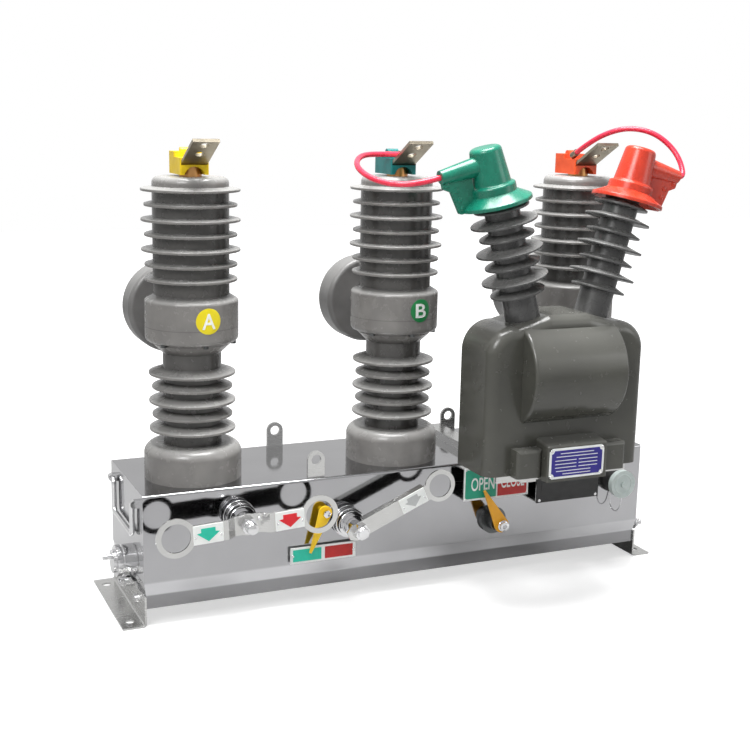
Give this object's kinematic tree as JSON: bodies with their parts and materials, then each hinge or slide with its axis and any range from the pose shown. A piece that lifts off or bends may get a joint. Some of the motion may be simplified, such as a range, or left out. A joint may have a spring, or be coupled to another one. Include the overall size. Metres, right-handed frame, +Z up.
{
  "type": "pole mounted recloser",
  "caption": "Outdoor pole-top switch: three insulator poles with current rings on a steel drive box, hook-stick levers, pointers and a front voltage transformer with two hooded bushings.",
  "frame": {"origin": "centre of the base, on the plane under the feet", "axes": "+X along the box from phase A to phase C, the levers and the transformer face -Y, +Z up"},
  "size_m": [0.956, 0.506, 0.7535],
  "materials": {
    "stainless": "polished",
    "resin_grey": "satin",
    "ring_grey": "satin",
    "resin_dark": "satin",
    "bushing_dark": "satin",
    "copper": "tinned",
    "cover_yellow": "satin",
    "cover_teal": "satin",
    "cover_orange": "satin",
    "hood_green": "satin",
    "hood_red": "satin",
    "lead_red": "gloss",
    "ceramic": "gloss",
    "rod_resin": "satin",
    "pointer_yellow": "satin",
    "sign_plate": "printed",
    "name_black": "printed",
    "socket_dark": "satin",
    "cap_clear": "satin",
    "steel": "plated"
  },
  "bodies": {
    "recloser": {"base_enclosure": "stainless", "bottom_cover": "stainless", "foot_left": "stainless", "foot_right": "stainless", "plate_brackets": "stainless", "vt_rails": "stainless", "vt_bed": "stainless", "lifting_lugs": "steel", "shaft_bearings": "steel", "lever_bosses": "steel", "position_bearing": "steel", "bail_brackets": "steel", "trip_fitting": "steel", "end_bolts": "steel", "cap_lanyard": "steel", "pole_upper_a": "resin_grey", "pole_upper_b": "resin_grey", "pole_upper_c": "resin_grey", "pole_lower_a": "resin_grey", "pole_lower_b": "resin_grey", "pole_lower_c": "resin_grey", "current_transformer_a": "ring_grey", "current_transformer_b": "ring_grey", "current_transformer_c": "ring_grey", "vacuum_interrupters": "ceramic", "top_terminals": "copper", "rear_conductors": "copper", "lead_lugs": "copper", "terminal_cover_a": "cover_yellow", "terminal_cover_b": "cover_teal", "terminal_cover_c": "cover_orange", "charge_plate": "sign_plate", "position_sign": "sign_plate", "nameplate": "name_black", "connector_socket": "socket_dark", "connector_cap": "cap_clear", "vt_body": "resin_dark", "vt_terminal_box": "resin_dark", "vt_bushing_left": "bushing_dark", "vt_bushing_right": "bushing_dark", "vt_hood_left": "hood_green", "vt_hood_right": "hood_red", "lead_b": "lead_red", "lead_c": "lead_red"},
    "drive_shaft": {"main_shaft": "steel"},
    "pull_rod_a_body": {"pull_rod_a": "rod_resin"},
    "pull_rod_b_body": {"pull_rod_b": "rod_resin"},
    "pull_rod_c_body": {"pull_rod_c": "rod_resin"},
    "position_indicator": {"position_shaft": "steel", "position_pointer": "pointer_yellow"},
    "manual_handle": {"manual_lever": "stainless", "manual_spindle": "steel"},
    "charging_handle": {"charging_lever": "stainless", "charging_spindle": "steel"},
    "charge_indicator": {"charge_pointer": "pointer_yellow"},
    "bail_left_body": {"bail_left": "steel"},
    "bail_right_body": {"bail_right": "steel"},
    "trip_plunger": {"trip_rod": "steel"}
  },
  "joints": [
    {"name": "main_shaft_turn", "type": "hinge", "parent": "recloser", "child": "drive_shaft", "pos_m": [0, 0.012, 0.12], "axis": [-1, 0, 0], "range_deg": [0, 20]},
    {"name": "pull_rod_a_slide", "type": "slide", "parent": "recloser", "child": "pull_rod_a_body", "axis": [0, 0, 1], "range_m": [0, 0.0105]},
    {"name": "pull_rod_b_slide", "type": "slide", "parent": "recloser", "child": "pull_rod_b_body", "axis": [0, 0, 1], "range_m": [0, 0.0105]},
    {"name": "pull_rod_c_slide", "type": "slide", "parent": "recloser", "child": "pull_rod_c_body", "axis": [0, 0, 1], "range_m": [0, 0.0105]},
    {"name": "position_pointer_turn", "type": "hinge", "parent": "recloser", "child": "position_indicator", "pos_m": [0.148, -0.143, 0.104], "axis": [0, 1, 0], "range_deg": [0, 58]},
    {"name": "manual_lever_turn", "type": "hinge", "parent": "recloser", "child": "manual_handle", "pos_m": [-0.296, -0.166, 0.162], "axis": [0, 1, 0], "range_deg": [-18, 18]},
    {"name": "charging_lever_turn", "type": "hinge", "parent": "recloser", "child": "charging_handle", "pos_m": [-0.1175, -0.166, 0.134], "axis": [0, 1, 0], "range_deg": [0, 55], "stiffness_Nm_per_rad": 0.6, "springref_deg": -45.84},
    {"name": "charge_pointer_turn", "type": "hinge", "parent": "recloser", "child": "charge_indicator", "pos_m": [-0.157, -0.121, 0.153], "axis": [0, -1, 0], "range_deg": [0, 44]},
    {"name": "bail_left_swing", "type": "hinge", "parent": "recloser", "child": "bail_left_body", "pos_m": [-0.448, 0, 0.186], "axis": [0, 1, 0], "range_deg": [0, 110]},
    {"name": "bail_right_swing", "type": "hinge", "parent": "recloser", "child": "bail_right_body", "pos_m": [0.448, 0, 0.186], "axis": [0, -1, 0], "range_deg": [0, 110]},
    {"name": "trip_rod_slide", "type": "slide", "parent": "recloser", "child": "trip_plunger", "axis": [-1, 0, 0], "range_m": [0, 0.008]}
  ],
  "couplings": [
    {"joint": "pull_rod_a_slide", "follows": "main_shaft_turn", "m_per_rad": 0.029848},
    {"joint": "pull_rod_b_slide", "follows": "main_shaft_turn", "m_per_rad": 0.029848},
    {"joint": "pull_rod_c_slide", "follows": "main_shaft_turn", "m_per_rad": 0.029848},
    {"joint": "position_pointer_turn", "follows": "main_shaft_turn", "ratio": 2.9}
  ]
}
